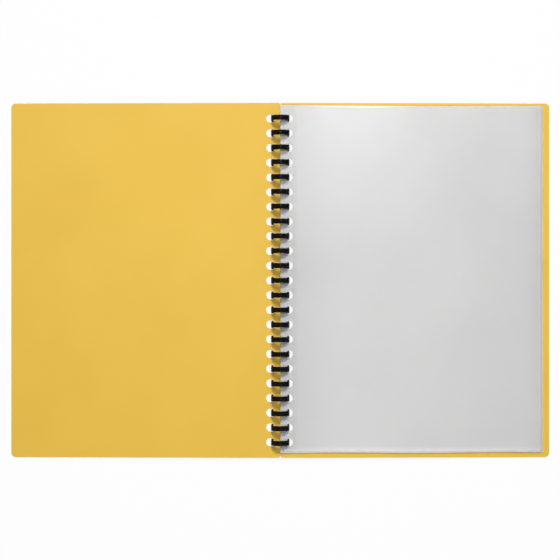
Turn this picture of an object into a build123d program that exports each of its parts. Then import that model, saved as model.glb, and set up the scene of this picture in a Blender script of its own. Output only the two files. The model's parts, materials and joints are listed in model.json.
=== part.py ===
from build123d import *
import math
import os

# A clear pocket display book lying open on a table, in millimetres.
# X runs across the open book, Y up the page and Z up from the table.
# The origin is on the table, under the middle of the ring binding.

# Ring comb
RING_COUNT = 23
RING_PITCH = 12.7
RING_OUTER_RADIUS = 8.0
RING_WALL = 1.1
ARCH_WIDTH = 4.0
LEG_WIDTH = 5.9
SHOULDER_TOP = 4.0
SHOULDER_BOTTOM = 1.0
ROOT_WIDTH = 7.6
ROOT_FLARE_HEIGHT = 2.0
FINGER_EDGE_RADIUS = 0.3
SPINE_HALF_ANGLE = 35.0
SPINE_END_MARGIN = 1.6
SPINE_CORNER_RADIUS = 1.5
FOOT_DEPTH = 0.3
TIP_SLIT = 0.4

# Covers
COVER_WIDTH = 233.0
COVER_HEIGHT = 306.4
COVER_THICKNESS = 0.8
COVER_CORNER_RADIUS = 4.0
BINDING_CORNER_RADIUS = 2.0
COVER_HOLE_LENGTH = 8.2
COVER_HOLE_WIDTH = 7.0
COVER_HOLE_INSET = 8.0

# Pockets
POCKET_COUNT = 20
POCKET_WIDTH = 227.0
POCKET_HEIGHT = 299.4
POCKET_TOP_MARGIN = 2.5
POCKET_HOLE_DIAMETER = 7.1
POCKET_HOLE_INSET = 7.1
BINDING_STRIP_WIDTH = 13.2
FILM_THICKNESS = 0.05
POCKET_ROOM = 0.06
SIDE_WELD_WIDTH = 1.5
BOTTOM_WELD_WIDTH = 1.0
BOTTOM_WELD_INSET = 1.4

# Clearances
COVER_GUTTER_GAP = 0.1
POCKET_GUTTER_GAP = 0.15
LEAF_CLEARANCE = 0.04
COVER_CLEARANCE = 0.25

# Sizes that follow from the ones above
ring_inner_radius = RING_OUTER_RADIUS - RING_WALL
axis_height = RING_OUTER_RADIUS - FOOT_DEPTH
ring_row_length = (RING_COUNT - 1) * RING_PITCH
leaf_thickness = 2 * FILM_THICKNESS + POCKET_ROOM
leaf_pitch = leaf_thickness + LEAF_CLEARANCE
stack_half = (POCKET_COUNT * leaf_pitch - LEAF_CLEARANCE) / 2
cover_inner_face = stack_half + COVER_CLEARANCE
cover_outer_face = cover_inner_face + COVER_THICKNESS

# The sheets slope from the ring axis until the outer edges of the covers meet the table
cover_edge = COVER_GUTTER_GAP + COVER_WIDTH
cover_reach = math.hypot(cover_edge, cover_outer_face)
sheet_slope = math.degrees(math.asin(axis_height / cover_reach) - math.atan2(cover_outer_face, cover_edge))
ring_axis = Pos(0, 0, axis_height)
right_side = ring_axis * Rot(0, sheet_slope, 0)


def polar(radius, degrees):
    """A point of the ring's cross-section, measured from its centre."""
    angle = math.radians(degrees)
    return radius * math.cos(angle), radius * math.sin(angle)


def ring_sector(start_angle, end_angle):
    """The part of the ring's wall between two angles, as a face across the binding."""
    outer_start = polar(RING_OUTER_RADIUS, start_angle)
    outer_end = polar(RING_OUTER_RADIUS, end_angle)
    inner_start = polar(ring_inner_radius, start_angle)
    inner_end = polar(ring_inner_radius, end_angle)
    middle = (start_angle + end_angle) / 2
    edges = [
        ThreePointArc(outer_start, polar(RING_OUTER_RADIUS, middle), outer_end),
        Line(outer_end, inner_end),
        ThreePointArc(inner_end, polar(ring_inner_radius, middle), inner_start),
        Line(inner_start, outer_start),
    ]
    return Plane.XZ * make_face(edges)


def finger_outline():
    """A finger seen from the side of the book: a narrow arch, shoulders, wide legs and flared roots."""
    top = RING_OUTER_RADIUS + RING_WALL
    bottom = -RING_OUTER_RADIUS * math.cos(math.radians(SPINE_HALF_ANGLE))
    arch = ARCH_WIDTH / 2
    leg = LEG_WIDTH / 2
    flare = bottom + ROOT_FLARE_HEIGHT
    root = ROOT_WIDTH / 2
    edges = [
        Line((0, top), (arch, top)),
        Line((arch, top), (arch, SHOULDER_TOP)),
        TangentArc((arch, SHOULDER_TOP), (leg, SHOULDER_BOTTOM), tangent=(0, -1)),
        Line((leg, SHOULDER_BOTTOM), (leg, flare)),
        TangentArc((leg, flare), (root, bottom), tangent=(0, -1)),
        Line((root, bottom), (0, bottom)),
        Line((0, bottom), (0, top)),
    ]
    half = make_face(edges)
    return Plane.YZ * (half + mirror(half, about=Plane.YZ))


def ring_finger():
    """One finger of the comb: rooted on the left edge of the spine, its tip just clear of the right edge."""
    slit = math.degrees(TIP_SLIT / ring_inner_radius)
    tip_angle = SPINE_HALF_ANGLE - 90 + slit
    root_angle = 270 - SPINE_HALF_ANGLE
    band = extrude(ring_sector(tip_angle, root_angle), amount=ROOT_WIDTH, both=True)
    outline = extrude(finger_outline(), amount=2 * RING_OUTER_RADIUS, both=True)
    finger = band & outline
    outer_edges = [
        edge
        for edge in finger.edges()
        if math.hypot((edge @ 0.5).X, (edge @ 0.5).Z) > RING_OUTER_RADIUS - RING_WALL / 4
        and (edge @ 0.5).Z > SHOULDER_BOTTOM
    ]
    return fillet(outer_edges, FINGER_EDGE_RADIUS)


def comb_spine():
    """The curved strip that carries the fingers, flattened underneath where it stands on the table."""
    length = ring_row_length + ROOT_WIDTH + 2 * SPINE_END_MARGIN
    sector = ring_sector(270 - SPINE_HALF_ANGLE, 270 + SPINE_HALF_ANGLE)
    strip = extrude(sector, amount=length / 2, both=True)
    strip_width = 2 * RING_OUTER_RADIUS * math.sin(math.radians(SPINE_HALF_ANGLE))
    plan = extrude(RectangleRounded(strip_width, length, SPINE_CORNER_RADIUS), -RING_OUTER_RADIUS)
    table = Pos(0, 0, -axis_height - FOOT_DEPTH / 2) * Box(strip_width, length, FOOT_DEPTH)
    return (strip & plan) - table


def row_of_holes(outline, across, thickness):
    """The cutters for the ring holes of one sheet, at a distance from the ring axis."""
    hole = extrude(outline, thickness, both=True)
    return [Pos(across, 0, 0) * place * hole for place in GridLocations(0, RING_PITCH, 1, RING_COUNT)]


def cover_outline():
    """The cover's outline, with smaller corners along the binding edge than along the outer edge."""
    plan = Pos(COVER_GUTTER_GAP + COVER_WIDTH / 2, 0) * Rectangle(COVER_WIDTH, COVER_HEIGHT)
    plan = fillet(plan.vertices().group_by(Axis.X)[-1], COVER_CORNER_RADIUS)
    return fillet(plan.vertices().group_by(Axis.X)[0], BINDING_CORNER_RADIUS)


def back_cover():
    """The right-hand cover, flat, with its inner face just below the stack of pockets."""
    sheet = extrude(cover_outline(), COVER_THICKNESS / 2, both=True)
    hole = SlotOverall(COVER_HOLE_LENGTH, COVER_HOLE_WIDTH)
    sheet -= row_of_holes(hole, COVER_GUTTER_GAP + COVER_HOLE_INSET, COVER_THICKNESS)
    return Pos(0, 0, -cover_inner_face - COVER_THICKNESS / 2) * sheet


def slab(left, right, bottom, top, low, high):
    """A flat plate between two positions along each axis."""
    plate = Box(right - left, top - bottom, high - low, align=Align.MIN)
    return Pos(left, bottom, low) * plate


def pocket():
    """One pocket, flat: a binding strip, two films and the welds that close the side and the bottom."""
    top = COVER_HEIGHT / 2 - POCKET_TOP_MARGIN
    bottom = top - POCKET_HEIGHT
    left = POCKET_GUTTER_GAP
    mouth_left = left + BINDING_STRIP_WIDTH
    right = left + POCKET_WIDTH
    film_face = POCKET_ROOM / 2
    leaf_face = leaf_thickness / 2
    weld_bottom = bottom + BOTTOM_WELD_INSET
    weld_top = weld_bottom + BOTTOM_WELD_WIDTH
    weld_left = right - SIDE_WELD_WIDTH
    strip = slab(left, mouth_left, bottom, top, -leaf_face, leaf_face)
    strip -= row_of_holes(Circle(POCKET_HOLE_DIAMETER / 2), left + POCKET_HOLE_INSET, leaf_thickness)
    front_film = slab(mouth_left, right, bottom, top, film_face, leaf_face)
    back_film = slab(mouth_left, right, bottom, top, -leaf_face, -film_face)
    bottom_weld = slab(mouth_left, weld_left, weld_bottom, weld_top, -film_face, film_face)
    side_weld = slab(weld_left, right, bottom, top, -film_face, film_face)
    return [strip, front_film, back_film, bottom_weld, side_weld]


def save(name, solids):
    """Write one piece of the book as its own file."""
    export_step(Compound(children=[Solid(s.solid().wrapped) for s in solids]), f"parts/{name}.step")


os.makedirs("parts", exist_ok=True)

right_cover = right_side * back_cover()
save("back_cover", [right_cover])
save("front_cover", [mirror(right_cover, about=Plane.YZ)])

finger = ring_finger()
finger_places = GridLocations(0, RING_PITCH, 1, RING_COUNT)
save("comb_fingers", [ring_axis * place * finger for place in finger_places])
save("comb_spine", [ring_axis * comb_spine()])

flat_pocket = pocket()
for number in range(POCKET_COUNT):
    leaf_height = stack_half - leaf_thickness / 2 - number * leaf_pitch
    leaf_place = right_side * Pos(0, 0, leaf_height)
    save(f"pocket_{number + 1:02d}", [leaf_place * piece for piece in flat_pocket])

print(f"ring axis {axis_height:.3f} mm above the table, sheets slope {sheet_slope:.4f} degrees")
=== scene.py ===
import json
import math
import random

import bmesh
import bpy
from mathutils import Matrix, Vector


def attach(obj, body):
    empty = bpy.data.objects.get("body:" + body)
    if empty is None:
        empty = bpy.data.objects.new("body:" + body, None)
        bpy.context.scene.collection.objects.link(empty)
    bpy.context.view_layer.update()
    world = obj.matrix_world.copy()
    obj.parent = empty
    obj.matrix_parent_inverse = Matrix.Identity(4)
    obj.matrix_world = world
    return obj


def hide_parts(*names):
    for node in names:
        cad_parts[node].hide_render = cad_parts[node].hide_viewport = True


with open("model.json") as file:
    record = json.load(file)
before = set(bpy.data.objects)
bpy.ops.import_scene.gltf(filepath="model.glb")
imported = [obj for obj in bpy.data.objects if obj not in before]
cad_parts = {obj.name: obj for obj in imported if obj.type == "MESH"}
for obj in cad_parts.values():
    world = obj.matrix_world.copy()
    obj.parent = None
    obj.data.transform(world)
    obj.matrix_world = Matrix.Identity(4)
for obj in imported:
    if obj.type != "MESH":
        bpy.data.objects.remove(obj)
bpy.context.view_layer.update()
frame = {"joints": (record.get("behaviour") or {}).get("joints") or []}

# A clear pocket display book lying open on a table, in metres.
# X runs across the open book, Y up the page and Z up from the table.
# Places across a sheet are measured from the ring axis.
MM = 0.001

# Shading
SHARP_ANGLE = math.radians(40)
FLAT_FACING = 0.999

# Ring comb, with heights measured from the ring axis and angles from its +X side
RING_COUNT = 23
RING_PITCH = 12.7 * MM
RING_OUTER_RADIUS = 8.0 * MM
RING_WALL = 1.1 * MM
ARCH_WIDTH = 4.3 * MM
LEG_WIDTH = 6.2 * MM
SHOULDER_TOP = -1.4 * MM
SHOULDER_BOTTOM = -2.0 * MM
ROOT_WIDTH = 7.6 * MM
ROOT_FLARE_HEIGHT = 2.0 * MM
FINGER_EDGE_RADIUS = 0.3 * MM
FINGER_EDGE_SEGMENTS = 4
FINGER_STEPS = 96
TIP_SLIT = 0.4 * MM
SPINE_MIDDLE_ANGLE = 3 * math.pi / 2
SPINE_HALF_ANGLE = math.radians(35)
SPINE_END_MARGIN = 1.6 * MM
SPINE_CORNER_RADIUS = 1.5 * MM
SPINE_CORNER_SEGMENTS = 6
SPINE_CORNER_SLACK = RING_WALL / 10
SPINE_STEPS = 16

# Covers
COVER_WIDTH = 233.0 * MM
COVER_HEIGHT = 306.4 * MM
COVER_THICKNESS = 0.8 * MM
COVER_CORNER_RADIUS = 4.0 * MM
BINDING_CORNER_RADIUS = 2.0 * MM
CORNER_SEGMENTS = 12
RIM_ANGLE = math.radians(60)
RIM_RADIUS = 0.12 * MM
RIM_SEGMENTS = 2

# Ring holes, whose inner ends get squarer as the power gets smaller
COVER_HOLE_INNER_END = 5.9 * MM
COVER_HOLE_OUTER_END = 12.2 * MM
COVER_HOLE_WIDTH = 7.0 * MM
POCKET_HOLE_INNER_END = 6.2 * MM
POCKET_HOLE_OUTER_END = 10.8 * MM
POCKET_HOLE_WIDTH = 7.1 * MM
HOLE_SEGMENTS = 40
INNER_END_POWER = 0.25

# Pockets
POCKET_COUNT = 20
POCKET_WIDTH = 227.0 * MM
POCKET_HEIGHT = 299.4 * MM
POCKET_TOP_MARGIN = 2.5 * MM
BINDING_STRIP_WIDTH = 13.2 * MM
FILM_THICKNESS = 0.05 * MM
POCKET_ROOM = 0.06 * MM
SIDE_WELD_WIDTH = 1.5 * MM
SIDE_WELD_THICKNESS = 0.02 * MM
BOTTOM_WELD_WIDTH = 1.0 * MM
BOTTOM_WELD_INSET = 2.0 * MM
WELD_DASH_PITCH = 2.96 * MM
WELD_DASH_LENGTH = 1.3 * MM
WELD_DASH_RELIEF = 0.01 * MM

# Clearances
COVER_GUTTER_GAP = 0.1 * MM
POCKET_GUTTER_GAP = 0.15 * MM
LEAF_CLEARANCE = 0.04 * MM
COVER_CLEARANCE = 0.25 * MM

# Grid of a film, finer along its outer, top and bottom edges
FILM_COLUMNS = 40
FILM_ROWS = 48
SIDE_WELD_COLUMNS = 2
FINE_COLUMNS = 0.35
FINE_WIDTH = 18.0 * MM
FINE_ROWS = 0.4
FINE_HEIGHT = 9.0 * MM

# Film that never lies quite flat, waved less by the binding and in the lower leaves
FLAT_WIDTH = 20.0 * MM
RISE_WIDTH = 60.0 * MM
WAVE_LIFT = 0.16 * MM
# Each wave: its height, its length across the page, its length up the page and its phase
FILM_WAVES = (
    (0.11 * MM, 150 * MM, 310 * MM, 0.6),
    (0.07 * MM, -83 * MM, 140 * MM, 2.1),
    (0.04 * MM, 52 * MM, 95 * MM, 4.0),
    (0.025 * MM, -41 * MM, 47 * MM, 1.2),
)
BOTTOM_LEAF_SHARE = 0.3
PUCKER_HEIGHT = 0.08 * MM
PUCKER_LENGTH = 5.4 * MM
PUCKER_REACH = 7.0 * MM
LIP_DROOP = 0.95 * MM
LIP_REACH = 2.0 * MM
LIP_MIDDLE = 75 * MM
LIP_WIDTH = 50 * MM
LIP_LEAST = 0.2

# Edges of the leaves, each cut a little differently
LEAF_SEED = 20
EDGE_REACH = 12.0 * MM
BOTTOM_RISE = 0.3 * MM
BOTTOM_WAVE = 0.3 * MM
BOTTOM_WAVE_LENGTH = 138 * MM
BOTTOM_WAVE_CREST = 52 * MM
BOTTOM_SPREAD = 0.5 * MM
TOP_SAG = 0.5 * MM
SIDE_SPREAD = 3.7 * MM
SIDE_SPREAD_POWER = 0.7

# Finishes, which vary with a noise between a low and a high value
NOISE_LOW = 0.3
NOISE_HIGH = 0.7
FINE_DETAIL = 2
COARSE_DETAIL = 3
COVER_CLOUD_SCALE = 14
COVER_DARK_TONE = (0.822, 0.517, 0.066)
COVER_LIGHT_TONE = (0.857, 0.545, 0.076)
COVER_GRAIN_SCALE = 2600
COVER_GRAIN_HEIGHT = 0.03 * MM
COVER_GRAIN_STRENGTH = 0.35
COVER_ROUGHNESS = (0.42, 0.56)
COVER_SPECULAR = 0.25
COMB_FLOW_SCALE = 160
COMB_FLOW_LOW = 0.35
COMB_DARK_TONE = (0.0008, 0.0008, 0.0009)
COMB_LIGHT_TONE = (0.002, 0.002, 0.0022)
COMB_FLOW_HEIGHT = 0.05 * MM
COMB_FLOW_STRENGTH = 0.1
COMB_ROUGHNESS = (0.2, 0.32)
COMB_SPECULAR = 0.07
FILM_CLOUD_SCALE = 11
FILM_CLOUD_ROUGHNESS = 0.55
FILM_CLOUD_LOW = 0.35
FILM_CLOUD_HIGH = 0.65
FILM_DARK_SHARE = 0.97
FILM_RIPPLE_SCALE = 90
FILM_RIPPLE_HEIGHT = 0.2 * MM
FILM_RIPPLE_STRENGTH = 0.12
FILM_ROUGHNESS = (0.24, 0.34)
FILM_IOR = 1.5
# Painted shade: the films darken towards the binding strip and towards the outer edge, standing in for the
# rings' shade and the light falling off across the page
BINDING_SHADE_SHARE = 0.93
UNSHADED_FROM = 48 * MM
UNSHADED_TO = 214 * MM
OUTER_SHADE_SHARE = 0.9
# Each film: its haze and its tone
CLEAR_FILM = (0.055, (0.66, 0.66, 0.657))
# The binding strip's tone is darker than the clear film's, as painted shade of the rings that arch over it
STRIP_FILM = (0.107, (0.61, 0.61, 0.61))
WELD_FILM = (0.25, (0.95, 0.95, 0.95))
SIDE_WELD_FILM = (0.06, (0.68, 0.68, 0.68))
# Places in a pocket's list of materials, which starts with its clear film
STRIP_SLOT = 1
WELD_SLOT = 2
SIDE_WELD_SLOT = 3

# Photographer's set
CAMERA_HEIGHT = 1.2
CAMERA_ACROSS = -0.2 * MM
CAMERA_UP = 0.3 * MM
SENSOR_WIDTH = 36.0
LENS = 89.0
WHITE = (1, 1, 1, 1)
PAPER_TONE = (0.95, 0.95, 0.95, 1)
FLOOR_SIZE = 12.0
FLOOR_GLOW = 0.92
FILL_STRENGTH = 0.22
# Each lamp: its name, place, size, the spread of its beam in degrees and its power
LAMPS = (
    ("key", Vector((0.0, 1.8, 2.4)), 0.5, 54, 5.1),
    ("upper_sheen", Vector((0.14, 0.36, 1.5)), 0.3, 180, 4.0),
    ("lower_sheen", Vector((0.17, -0.38, 1.5)), 0.3, 180, 1.5),
)
# Light passes all the films of the stack, and only the lower leaves dim it
CLEAR_LAYERS = 96
FIRST_SHADOW_LEAF = 10

# Sizes that follow from the ones above
axis_height = frame["joints"][0]["pos_m"][2]
ring_inner_radius = RING_OUTER_RADIUS - RING_WALL
ring_row_length = (RING_COUNT - 1) * RING_PITCH
ring_places = [(number - (RING_COUNT - 1) / 2) * RING_PITCH for number in range(RING_COUNT)]
leaf_thickness = 2 * FILM_THICKNESS + POCKET_ROOM
leaf_pitch = leaf_thickness + LEAF_CLEARANCE
stack_half = (POCKET_COUNT * leaf_pitch - LEAF_CLEARANCE) / 2
cover_inner_face = stack_half + COVER_CLEARANCE
cover_outer_face = cover_inner_face + COVER_THICKNESS
cover_edge = COVER_GUTTER_GAP + COVER_WIDTH
pocket_top = COVER_HEIGHT / 2 - POCKET_TOP_MARGIN
pocket_bottom = pocket_top - POCKET_HEIGHT
pocket_right = POCKET_GUTTER_GAP + POCKET_WIDTH
mouth_left = POCKET_GUTTER_GAP + BINDING_STRIP_WIDTH

# The sheets slope from the ring axis until the outer edges of the covers meet the table
cover_reach = math.hypot(cover_edge, cover_outer_face)
sheet_slope = math.asin(axis_height / cover_reach) - math.atan2(cover_outer_face, cover_edge)
right_side = Matrix.Translation((0, 0, axis_height)) @ Matrix.Rotation(sheet_slope, 4, "Y")
left_side = Matrix.Scale(-1, 4, (1, 0, 0)) @ right_side


# Helpers for meshes

def new_piece(name, bm, materials):
    """Turn a finished bmesh into an object with smooth curves, sharp corners and plain flat faces."""
    mesh = bpy.data.meshes.new(name)
    smooth = [face.smooth for face in bm.faces]
    bm.to_mesh(mesh)
    bm.free()
    for material in materials:
        mesh.materials.append(material)
    mesh.set_sharp_from_angle(angle=SHARP_ANGLE)
    mesh.polygons.foreach_set("use_smooth", smooth)
    piece = bpy.data.objects.new(name, mesh)
    bpy.context.scene.collection.objects.link(piece)
    return piece


def smooth_faces(bm, flat_normal=None):
    """Shade the faces of a mesh smoothly, apart from those that face along a flat sheet's normal."""
    for face in bm.faces:
        face.smooth = flat_normal is None or abs(face.normal.dot(flat_normal)) < FLAT_FACING


def faces_of(verts):
    """The faces that touch any of these vertices."""
    return list({face for vert in verts for face in vert.link_faces})


def everything_in(bm):
    """All the vertices, edges and faces of a mesh."""
    return bm.verts[:] + bm.edges[:] + bm.faces[:]


def smooth_step(low, high, value):
    """Rise from 0 at low to 1 at high, level at both ends."""
    share = min(max((value - low) / (high - low), 0.0), 1.0)
    return share * share * (3 - 2 * share)


def round_off(bm, geom, radius, segments, affect):
    """Round edges or corners with even arcs."""
    bmesh.ops.bevel(
        bm, geom=geom, offset=radius, segments=segments, profile=0.5, affect=affect, material=-1,
    )


def add_outline(bm, left, right, bottom, top):
    """A flat rectangle, as one face, and its corners."""
    grid = bmesh.ops.create_grid(bm, x_segments=1, y_segments=1, size=0.5)
    bmesh.ops.scale(bm, vec=(right - left, top - bottom, 1), verts=grid["verts"])
    bmesh.ops.translate(bm, vec=((left + right) / 2, (bottom + top) / 2, 0), verts=grid["verts"])
    return grid["verts"]


def round_corners(bm, middle, outer_radius, binding_radius):
    """Round the outline's corners, those beyond its middle more than those along the binding edge."""
    outer = [vert for vert in bm.verts if vert.co.x > middle]
    binding = [vert for vert in bm.verts if vert.co.x < middle]
    for corners, radius in ((outer, outer_radius), (binding, binding_radius)):
        round_off(bm, corners, radius, CORNER_SEGMENTS, "VERTICES")


def add_ring_holes(bm, inner_end, outer_end, width):
    """The edges of the row of ring holes, round at their outer end and nearly straight behind the rings."""
    radius = width / 2
    middle = outer_end - radius
    half_step = Matrix.Rotation(math.pi / HOLE_SEGMENTS, 4, "Z")
    for along in ring_places:
        hole = bmesh.ops.create_circle(bm, segments=HOLE_SEGMENTS, radius=radius, matrix=half_step)
        for vert in hole["verts"]:
            if vert.co.x < 0:
                vert.co.x = (inner_end - middle) * abs(vert.co.x / radius) ** INNER_END_POWER
                vert.co.y = math.copysign(radius * abs(vert.co.y / radius) ** INNER_END_POWER, vert.co.y)
        bmesh.ops.translate(bm, vec=(middle, along, 0), verts=hole["verts"])


def punch_and_thicken(bm, hole_inner_end, hole_outer_end, hole_width, thickness):
    """Turn an outline into a flat sheet with ring holes, its middle plane at height zero."""
    bmesh.ops.delete(bm, geom=bm.faces[:], context="FACES_ONLY")
    add_ring_holes(bm, hole_inner_end, hole_outer_end, hole_width)
    bmesh.ops.triangle_fill(bm, use_beauty=True, use_dissolve=False, edges=bm.edges[:], normal=(0, 0, 1))
    bmesh.ops.translate(bm, vec=(0, 0, -thickness / 2), verts=bm.verts[:])
    raised = bmesh.ops.extrude_face_region(bm, geom=bm.faces[:], use_keep_orig=True)
    lifted = [item for item in raised["geom"] if isinstance(item, bmesh.types.BMVert)]
    bmesh.ops.translate(bm, vec=(0, 0, thickness), verts=lifted)
    bmesh.ops.recalc_face_normals(bm, faces=bm.faces[:])


# Helpers for materials

def new_material(name):
    """A material with one Principled shader, and its node tree and shader."""
    material = bpy.data.materials.new(name)
    material.use_nodes = True
    tree = material.node_tree
    return material, tree, tree.nodes["Principled BSDF"]


def add_noise(tree, scale, detail, roughness=0.5):
    """Noise on Object coordinates."""
    place = tree.nodes.new("ShaderNodeTexCoord")
    noise = tree.nodes.new("ShaderNodeTexNoise")
    noise.inputs["Scale"].default_value = scale
    noise.inputs["Detail"].default_value = detail
    noise.inputs["Roughness"].default_value = roughness
    tree.links.new(place.outputs["Object"], noise.inputs["Vector"])
    return noise.outputs["Fac"]


def add_ramp(tree, source, start, start_tone, end, end_tone):
    """A colour that follows a value from one tone to another."""
    ramp = tree.nodes.new("ShaderNodeValToRGB")
    low, high = ramp.color_ramp.elements
    low.position = start
    low.color = (*start_tone, 1)
    high.position = end
    high.color = (*end_tone, 1)
    tree.links.new(source, ramp.inputs["Fac"])
    return ramp.outputs["Color"]


def add_range(tree, source, from_low, from_high, to_low, to_high):
    """A number that follows a value from one limit to another."""
    span = tree.nodes.new("ShaderNodeMapRange")
    span.inputs["From Min"].default_value = from_low
    span.inputs["From Max"].default_value = from_high
    span.inputs["To Min"].default_value = to_low
    span.inputs["To Max"].default_value = to_high
    tree.links.new(source, span.inputs["Value"])
    return span.outputs["Result"]


def vary_roughness(tree, shader, noise, limits):
    """Let the roughness follow a noise between two limits."""
    roughness = add_range(tree, noise, NOISE_LOW, NOISE_HIGH, *limits)
    tree.links.new(roughness, shader.inputs["Roughness"])


def raise_bumps(tree, shader, noise, height, strength):
    """Let the surface rise and fall with a noise."""
    bump = tree.nodes.new("ShaderNodeBump")
    bump.inputs["Distance"].default_value = height
    bump.inputs["Strength"].default_value = strength
    tree.links.new(noise, bump.inputs["Height"])
    tree.links.new(bump.outputs["Normal"], shader.inputs["Normal"])


def add_seen(tree):
    """One for what is seen, also in a reflection or through film, and nought for light on the book."""
    rays = tree.nodes.new("ShaderNodeLightPath")
    seen = rays.outputs["Is Camera Ray"]
    for kind in ("Is Glossy Ray", "Is Transmission Ray"):
        either = tree.nodes.new("ShaderNodeMath")
        either.operation = "MAXIMUM"
        tree.links.new(seen, either.inputs[0])
        tree.links.new(rays.outputs[kind], either.inputs[1])
        seen = either.outputs["Value"]
    return seen


# Materials

def yellow_cover_material():
    """Coloured plastic sheet with a fine matt grain."""
    material, tree, shader = new_material("yellow_cover_sheet")
    cloud = add_noise(tree, COVER_CLOUD_SCALE, COARSE_DETAIL)
    colour = add_ramp(tree, cloud, NOISE_LOW, COVER_DARK_TONE, NOISE_HIGH, COVER_LIGHT_TONE)
    tree.links.new(colour, shader.inputs["Base Color"])
    grain = add_noise(tree, COVER_GRAIN_SCALE, FINE_DETAIL)
    vary_roughness(tree, shader, grain, COVER_ROUGHNESS)
    raise_bumps(tree, shader, grain, COVER_GRAIN_HEIGHT, COVER_GRAIN_STRENGTH)
    shader.inputs["Specular IOR Level"].default_value = COVER_SPECULAR
    return material


def black_comb_material():
    """Black moulded plastic, glossy with a faint flow texture."""
    material, tree, shader = new_material("black_comb_plastic")
    flow = add_noise(tree, COMB_FLOW_SCALE, COARSE_DETAIL)
    colour = add_ramp(tree, flow, COMB_FLOW_LOW, COMB_DARK_TONE, NOISE_HIGH, COMB_LIGHT_TONE)
    tree.links.new(colour, shader.inputs["Base Color"])
    vary_roughness(tree, shader, flow, COMB_ROUGHNESS)
    raise_bumps(tree, shader, flow, COMB_FLOW_HEIGHT, COMB_FLOW_STRENGTH)
    shader.inputs["Specular IOR Level"].default_value = COMB_SPECULAR
    return material


def paint_shade_on_film_edges(tree, colour):
    """A film's colour with painted shade: darker by the binding, under the rings, and along its outer edge,
    where the light falls off.
    """
    place = tree.nodes.new("ShaderNodeTexCoord")
    axes = tree.nodes.new("ShaderNodeSeparateXYZ")
    tree.links.new(place.outputs["Object"], axes.inputs["Vector"])
    binding_shade = add_range(tree, axes.outputs["X"], mouth_left, UNSHADED_FROM, BINDING_SHADE_SHARE, 1.0)
    outer_shade = add_range(tree, axes.outputs["X"], UNSHADED_TO, pocket_right, 1.0, OUTER_SHADE_SHARE)
    for fade in (binding_shade, outer_shade):
        scaled = tree.nodes.new("ShaderNodeVectorMath")
        scaled.operation = "SCALE"
        tree.links.new(colour, scaled.inputs["Vector"])
        tree.links.new(fade, scaled.inputs["Scale"])
        colour = scaled.outputs["Vector"]
    return colour


def film_material(name, haze, tone):
    """Clear film with a slight milky haze, a soft gloss, and painted shade by the binding and along its
    outer edge.
    """
    material, tree, shader = new_material(name)
    cloud = add_noise(tree, FILM_CLOUD_SCALE, COARSE_DETAIL, FILM_CLOUD_ROUGHNESS)
    dark_tone = [FILM_DARK_SHARE * channel for channel in tone]
    colour = add_ramp(tree, cloud, FILM_CLOUD_LOW, dark_tone, FILM_CLOUD_HIGH, tone)
    tree.links.new(paint_shade_on_film_edges(tree, colour), shader.inputs["Base Color"])
    vary_roughness(tree, shader, cloud, FILM_ROUGHNESS)
    ripple = add_noise(tree, FILM_RIPPLE_SCALE, FINE_DETAIL)
    raise_bumps(tree, shader, ripple, FILM_RIPPLE_HEIGHT, FILM_RIPPLE_STRENGTH)
    shader.inputs["IOR"].default_value = FILM_IOR
    shader.inputs["Alpha"].default_value = haze
    return material


def floor_material():
    """White paper that looks evenly lit and still takes the book's soft shadow."""
    material = bpy.data.materials.new("white_table")
    material.use_nodes = True
    tree = material.node_tree
    tree.nodes.clear()
    output = tree.nodes.new("ShaderNodeOutputMaterial")
    paper = tree.nodes.new("ShaderNodeBsdfDiffuse")
    paper.inputs["Color"].default_value = PAPER_TONE
    glow = tree.nodes.new("ShaderNodeEmission")
    mix = tree.nodes.new("ShaderNodeMixShader")
    tree.links.new(add_range(tree, add_seen(tree), 0.0, 1.0, 0.0, FLOOR_GLOW), mix.inputs["Fac"])
    tree.links.new(paper.outputs["BSDF"], mix.inputs[1])
    tree.links.new(glow.outputs["Emission"], mix.inputs[2])
    tree.links.new(mix.outputs["Shader"], output.inputs["Surface"])
    return material


yellow_cover = yellow_cover_material()
black_comb = black_comb_material()
clear_film = film_material("clear_pocket_film", *CLEAR_FILM)
strip_film = film_material("binding_strip_film", *STRIP_FILM)
weld_film = film_material("weld_film", *WELD_FILM)
side_weld_film = film_material("side_weld_film", *SIDE_WELD_FILM)


# Covers

def make_cover(name, place):
    """One cover: a die-cut sheet with rounded corners, ring holes and softened edges."""
    bm = bmesh.new()
    add_outline(bm, COVER_GUTTER_GAP, cover_edge, -COVER_HEIGHT / 2, COVER_HEIGHT / 2)
    round_corners(bm, cover_edge / 2, COVER_CORNER_RADIUS, BINDING_CORNER_RADIUS)
    punch_and_thicken(bm, COVER_HOLE_INNER_END, COVER_HOLE_OUTER_END, COVER_HOLE_WIDTH, COVER_THICKNESS)
    rims = [edge for edge in bm.edges if edge.calc_face_angle(0) > RIM_ANGLE]
    round_off(bm, rims, RIM_RADIUS, RIM_SEGMENTS, "EDGES")
    bm.normal_update()
    smooth_faces(bm, Vector((0, 0, 1)))
    down = Matrix.Translation((0, 0, -cover_inner_face - COVER_THICKNESS / 2))
    bmesh.ops.transform(bm, matrix=place @ down, verts=bm.verts[:])
    bmesh.ops.recalc_face_normals(bm, faces=bm.faces[:])
    return new_piece(name, bm, [yellow_cover])


for node, place in (("back_cover", right_side), ("front_cover", left_side)):
    cover = make_cover(f"{node}_sheet", place)
    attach(cover, node)
    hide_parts(node)


# Ring comb

def flared(narrow, wide, height, drop):
    """Half the width of a flare that starts straight and widens along an arc."""
    step = wide - narrow
    radius = (step * step + height * height) / (2 * step)
    return narrow + radius - math.sqrt(radius * radius - drop * drop)


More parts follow.
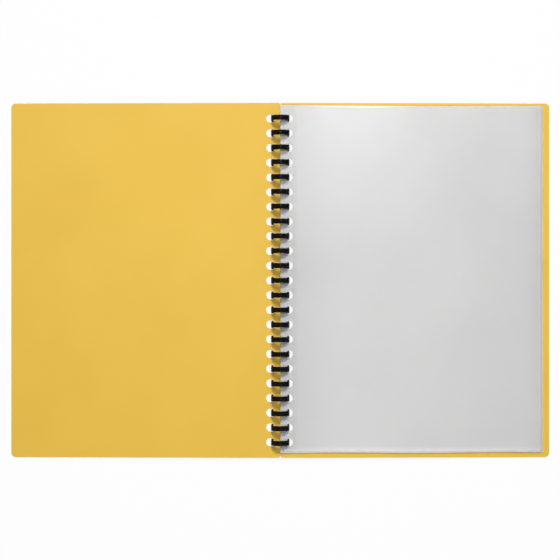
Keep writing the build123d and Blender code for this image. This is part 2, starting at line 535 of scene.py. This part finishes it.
def finger_half_width(height):
    """Half a finger's width at a height above the ring axis: arch, shoulder, leg and flared root."""
    arch = ARCH_WIDTH / 2
    leg = LEG_WIDTH / 2
    flare_top = ROOT_FLARE_HEIGHT - RING_OUTER_RADIUS * math.cos(SPINE_HALF_ANGLE)
    if height > SHOULDER_TOP:
        return arch
    if height > SHOULDER_BOTTOM:
        return flared(arch, leg, SHOULDER_TOP - SHOULDER_BOTTOM, SHOULDER_TOP - height)
    if height > flare_top:
        return leg
    drop = min(flare_top - height, ROOT_FLARE_HEIGHT)
    return flared(leg, ROOT_WIDTH / 2, ROOT_FLARE_HEIGHT, drop)


def add_wall_section(bm, width):
    """A cross-section of the ring's wall on the +X side of the ring, and its two outer corners."""
    corners = add_outline(bm, ring_inner_radius, RING_OUTER_RADIUS, -width / 2, width / 2)
    return [vert for vert in corners if vert.co.x > RING_OUTER_RADIUS - RING_WALL / 2]


def sweep_section(bm, start_angle, end_angle, steps):
    """Sweep the section round the ring axis between two angles, closed at both ends."""
    turn = Matrix.Rotation(-start_angle, 4, "Y")
    bmesh.ops.transform(bm, matrix=turn, verts=bm.verts[:])
    bmesh.ops.spin(
        bm, geom=everything_in(bm), cent=(0, 0, 0), axis=(0, -1, 0),
        angle=end_angle - start_angle, steps=steps, use_merge=False,
    )
    open_edges = [edge for edge in bm.edges if edge.is_boundary]
    bmesh.ops.holes_fill(bm, edges=open_edges, sides=0)
    bmesh.ops.recalc_face_normals(bm, faces=bm.faces[:])


def make_finger():
    """One finger of the comb about the ring axis, as a bmesh."""
    bm = bmesh.new()
    outer_corners = add_wall_section(bm, ARCH_WIDTH)
    round_off(bm, outer_corners, FINGER_EDGE_RADIUS, FINGER_EDGE_SEGMENTS, "VERTICES")
    tip_angle = SPINE_HALF_ANGLE - math.pi / 2 + TIP_SLIT / ring_inner_radius
    root_angle = SPINE_MIDDLE_ANGLE - SPINE_HALF_ANGLE
    sweep_section(bm, tip_angle, root_angle, FINGER_STEPS)
    for vert in bm.verts:
        widening = finger_half_width(vert.co.z) - ARCH_WIDTH / 2
        vert.co.y += math.copysign(widening, vert.co.y)
    return bm


def make_fingers(name):
    """All the fingers of the comb, in their row."""
    finger = make_finger()
    pattern = bpy.data.meshes.new("finger_pattern")
    finger.to_mesh(pattern)
    finger.free()
    bm = bmesh.new()
    for along in ring_places:
        before = len(bm.verts)
        bm.from_mesh(pattern)
        bm.verts.ensure_lookup_table()
        bmesh.ops.translate(bm, vec=(0, along, axis_height), verts=bm.verts[before:])
    bpy.data.meshes.remove(pattern)
    smooth_faces(bm)
    return new_piece(name, bm, [black_comb])


def make_spine(name):
    """The curved strip that carries the fingers, flattened where it stands on the table."""
    bm = bmesh.new()
    add_wall_section(bm, ring_row_length + ROOT_WIDTH + 2 * SPINE_END_MARGIN)
    start_angle = SPINE_MIDDLE_ANGLE - SPINE_HALF_ANGLE
    end_angle = SPINE_MIDDLE_ANGLE + SPINE_HALF_ANGLE
    sweep_section(bm, start_angle, end_angle, SPINE_STEPS)
    corners = [
        edge for edge in bm.edges
        if abs(edge.calc_length() - RING_WALL) < SPINE_CORNER_SLACK
        and all(len(vert.link_edges) == 3 for vert in edge.verts)
    ]
    round_off(bm, corners, SPINE_CORNER_RADIUS, SPINE_CORNER_SEGMENTS, "EDGES")
    bmesh.ops.translate(bm, vec=(0, 0, axis_height), verts=bm.verts[:])
    cut = bmesh.ops.bisect_plane(
        bm, geom=everything_in(bm), plane_co=(0, 0, 0), plane_no=(0, 0, -1), clear_outer=True,
    )
    rim = [item for item in cut["geom_cut"] if isinstance(item, bmesh.types.BMEdge)]
    bmesh.ops.contextual_create(bm, geom=rim)
    bmesh.ops.recalc_face_normals(bm, faces=bm.faces[:])
    smooth_faces(bm)
    return new_piece(name, bm, [black_comb])


fingers = make_fingers("comb_ring_fingers")
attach(fingers, "ring_comb")
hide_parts("comb_fingers")

spine = make_spine("comb_spine_strip")
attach(spine, "ring_comb")
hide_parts("comb_spine")


# Pockets

def crowd(share, length, fine_share, fine_length):
    """Where a grid line lies along an edge, with the lines closer together at its far end."""
    coarse_share = 1 - fine_share
    if share <= coarse_share:
        return share / coarse_share * (length - fine_length)
    return length - fine_length + (share - coarse_share) / fine_share * fine_length


def up_the_page(share):
    """A grid row's place on the page, with the rows closer together at the top and bottom edges."""
    half_up = crowd(abs(share), POCKET_HEIGHT / 2, FINE_ROWS, FINE_HEIGHT)
    return (pocket_top + pocket_bottom) / 2 + math.copysign(half_up, share)


def film_height(across, up):
    """How far the film stands off its flat place at a point of the page."""
    wave = WAVE_LIFT
    for height, length_across, length_up, phase in FILM_WAVES:
        wave += height * math.sin(2 * math.pi * (across / length_across + up / length_up) + phase)
    wave *= smooth_step(FLAT_WIDTH, FLAT_WIDTH + RISE_WIDTH, across)
    from_side = max(pocket_right - across, 0)
    pucker = math.sin(2 * math.pi * from_side / PUCKER_LENGTH) * math.exp(-from_side / PUCKER_REACH)
    from_top = max(pocket_top - up, 0)
    lip = LIP_LEAST + (1 - LIP_LEAST) * math.exp(-((across - LIP_MIDDLE) / LIP_WIDTH) ** 2)
    lip *= math.exp(-from_top / LIP_REACH) * smooth_step(mouth_left, FLAT_WIDTH, across)
    return wave + PUCKER_HEIGHT * pucker - LIP_DROOP * lip


class Leaf:
    """One pocket's place in the stack, and the small ways in which it differs from the next."""

    def __init__(self, number, draw):
        self.height = stack_half - leaf_thickness / 2 - number * leaf_pitch
        self.wave_share = 1 - (1 - BOTTOM_LEAF_SHARE) * number / (POCKET_COUNT - 1)
        self.side_shift = -SIDE_SPREAD * draw.random() ** SIDE_SPREAD_POWER if number else 0
        self.bottom_shift = draw.uniform(-BOTTOM_SPREAD, BOTTOM_SPREAD) if number else 0

    def point(self, across, up, off, trim=1.0):
        """A point of the waved leaf, from its place on a flat page and its height off the leaf's middle.

        The leaf's own cut of its edges moves the point in full where trim is one.
        """
        near_side = smooth_step(mouth_left, pocket_right, across)
        near_bottom = smooth_step(EDGE_REACH, 0, up - pocket_bottom)
        near_bottom *= smooth_step(mouth_left, FLAT_WIDTH, across)
        near_top = smooth_step(EDGE_REACH, 0, pocket_top - up)
        crest = math.cos(2 * math.pi * (across - BOTTOM_WAVE_CREST) / BOTTOM_WAVE_LENGTH)
        rise = near_bottom * (BOTTOM_RISE + BOTTOM_WAVE * crest + trim * self.bottom_shift)
        sag = near_top * TOP_SAG * math.sin(math.pi * (across - mouth_left) / (pocket_right - mouth_left))
        shifted_across = across + trim * near_side * self.side_shift
        shifted_up = up + rise - sag
        wave = self.wave_share * film_height(shifted_across, shifted_up)
        return Vector((shifted_across, shifted_up, self.height + wave + off))


def add_film(bm, leaf, off):
    """One film of a pocket, as a thin closed sheet about a height in the leaf."""
    grid = bmesh.ops.create_grid(bm, x_segments=FILM_COLUMNS, y_segments=FILM_ROWS, size=1)
    width = pocket_right - mouth_left
    for vert in grid["verts"]:
        across = mouth_left + crowd((vert.co.x + 1) / 2, width, FINE_COLUMNS, FINE_WIDTH)
        vert.co = leaf.point(across, up_the_page(vert.co.y), off + FILM_THICKNESS / 2)
    bmesh.ops.solidify(bm, geom=faces_of(grid["verts"]), thickness=FILM_THICKNESS)


def add_strip(bm, leaf):
    """The binding strip of a pocket, with its ring holes."""
    strip = bmesh.new()
    add_outline(strip, POCKET_GUTTER_GAP, mouth_left, pocket_bottom, pocket_top)
    punch_and_thicken(
        strip, POCKET_HOLE_INNER_END, POCKET_HOLE_OUTER_END, POCKET_HOLE_WIDTH, leaf_thickness,
    )
    for face in strip.faces:
        face.material_index = STRIP_SLOT
    bmesh.ops.translate(strip, vec=(0, 0, leaf.height), verts=strip.verts[:])
    pattern = bpy.data.meshes.new("strip_pattern")
    strip.to_mesh(pattern)
    strip.free()
    bm.from_mesh(pattern)
    bpy.data.meshes.remove(pattern)


def add_weld_dashes(bm, leaf):
    """The row of weld marks that closes the bottom of a pocket."""
    count = int((POCKET_WIDTH + leaf.side_shift - SIDE_WELD_WIDTH) / WELD_DASH_PITCH)
    up = pocket_bottom + BOTTOM_WELD_INSET + BOTTOM_WELD_WIDTH / 2
    thickness = leaf_thickness + 2 * WELD_DASH_RELIEF
    size = Matrix.Diagonal((WELD_DASH_LENGTH, BOTTOM_WELD_WIDTH, thickness, 1))
    for number in range(count):
        across = POCKET_GUTTER_GAP + (number + 0.5) * WELD_DASH_PITCH
        centre = leaf.point(across, up, 0, trim=0)
        dash = bmesh.ops.create_cube(bm, size=1, matrix=Matrix.Translation(centre) @ size)
        for face in faces_of(dash["verts"]):
            face.material_index = WELD_SLOT


def add_side_weld(bm, leaf):
    """The weld along the outer side of a pocket, between its two films."""
    grid = bmesh.ops.create_grid(bm, x_segments=SIDE_WELD_COLUMNS, y_segments=FILM_ROWS, size=1)
    for vert in grid["verts"]:
        across = pocket_right - SIDE_WELD_WIDTH * (1 - vert.co.x) / 2
        vert.co = leaf.point(across, up_the_page(vert.co.y), SIDE_WELD_THICKNESS / 2)
    faces = faces_of(grid["verts"])
    for face in faces:
        face.material_index = SIDE_WELD_SLOT
    bmesh.ops.solidify(bm, geom=faces, thickness=SIDE_WELD_THICKNESS)


def make_pocket(name, leaf):
    """One pocket: two films, a binding strip and the welds along its side and its bottom."""
    bm = bmesh.new()
    film_middle = (POCKET_ROOM + FILM_THICKNESS) / 2
    add_film(bm, leaf, film_middle)
    add_film(bm, leaf, -film_middle)
    add_strip(bm, leaf)
    add_weld_dashes(bm, leaf)
    add_side_weld(bm, leaf)
    bmesh.ops.transform(bm, matrix=right_side, verts=bm.verts[:])
    smooth_faces(bm)
    return new_piece(name, bm, [clear_film, strip_film, weld_film, side_weld_film])


leaf_draw = random.Random(LEAF_SEED)
for number in range(POCKET_COUNT):
    node = f"pocket_{number + 1:02d}"
    pocket = make_pocket(f"{node}_leaf", Leaf(number, leaf_draw))
    pocket.visible_shadow = number >= FIRST_SHADOW_LEAF
    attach(pocket, node)
    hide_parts(node)


# Set

def make_floor():
    """The white table that the book lies on."""
    bm = bmesh.new()
    bmesh.ops.create_grid(bm, x_segments=1, y_segments=1, size=FLOOR_SIZE)
    floor = new_piece("table", bm, [floor_material()])


def add_soft_box(name, place, size, spread, power):
    """A square lamp that looks at the middle of the book."""
    lamp = bpy.data.lights.new(name, "AREA")
    lamp.shape = "SQUARE"
    lamp.size = size
    lamp.spread = math.radians(spread)
    lamp.energy = power
    soft_box = bpy.data.objects.new(name, lamp)
    soft_box.location = place
    soft_box.rotation_euler = (-place).to_track_quat("-Z", "Y").to_euler()
    bpy.context.scene.collection.objects.link(soft_box)


def make_lights():
    """Soft boxes above the book, and an even fill from all round that looks white."""
    for lamp in LAMPS:
        add_soft_box(*lamp)
    world = bpy.data.worlds.new("studio")
    world.use_nodes = True
    tree = world.node_tree
    background = tree.nodes["Background"]
    background.inputs["Color"].default_value = WHITE
    strength = add_range(tree, add_seen(tree), 0.0, 1.0, FILL_STRENGTH, 1.0)
    tree.links.new(strength, background.inputs["Strength"])
    bpy.context.scene.world = world


def make_camera():
    """A camera straight above the middle of the open book."""
    view = bpy.data.cameras.new("camera")
    view.sensor_width = SENSOR_WIDTH
    view.lens = LENS
    camera = bpy.data.objects.new("camera", view)
    camera.location = (CAMERA_ACROSS, CAMERA_UP, CAMERA_HEIGHT)
    bpy.context.scene.collection.objects.link(camera)
    bpy.context.scene.camera = camera


make_floor()
make_lights()
make_camera()
bpy.context.scene.view_settings.view_transform = "Standard"
bpy.context.scene.cycles.transparent_max_bounces = CLEAR_LAYERS
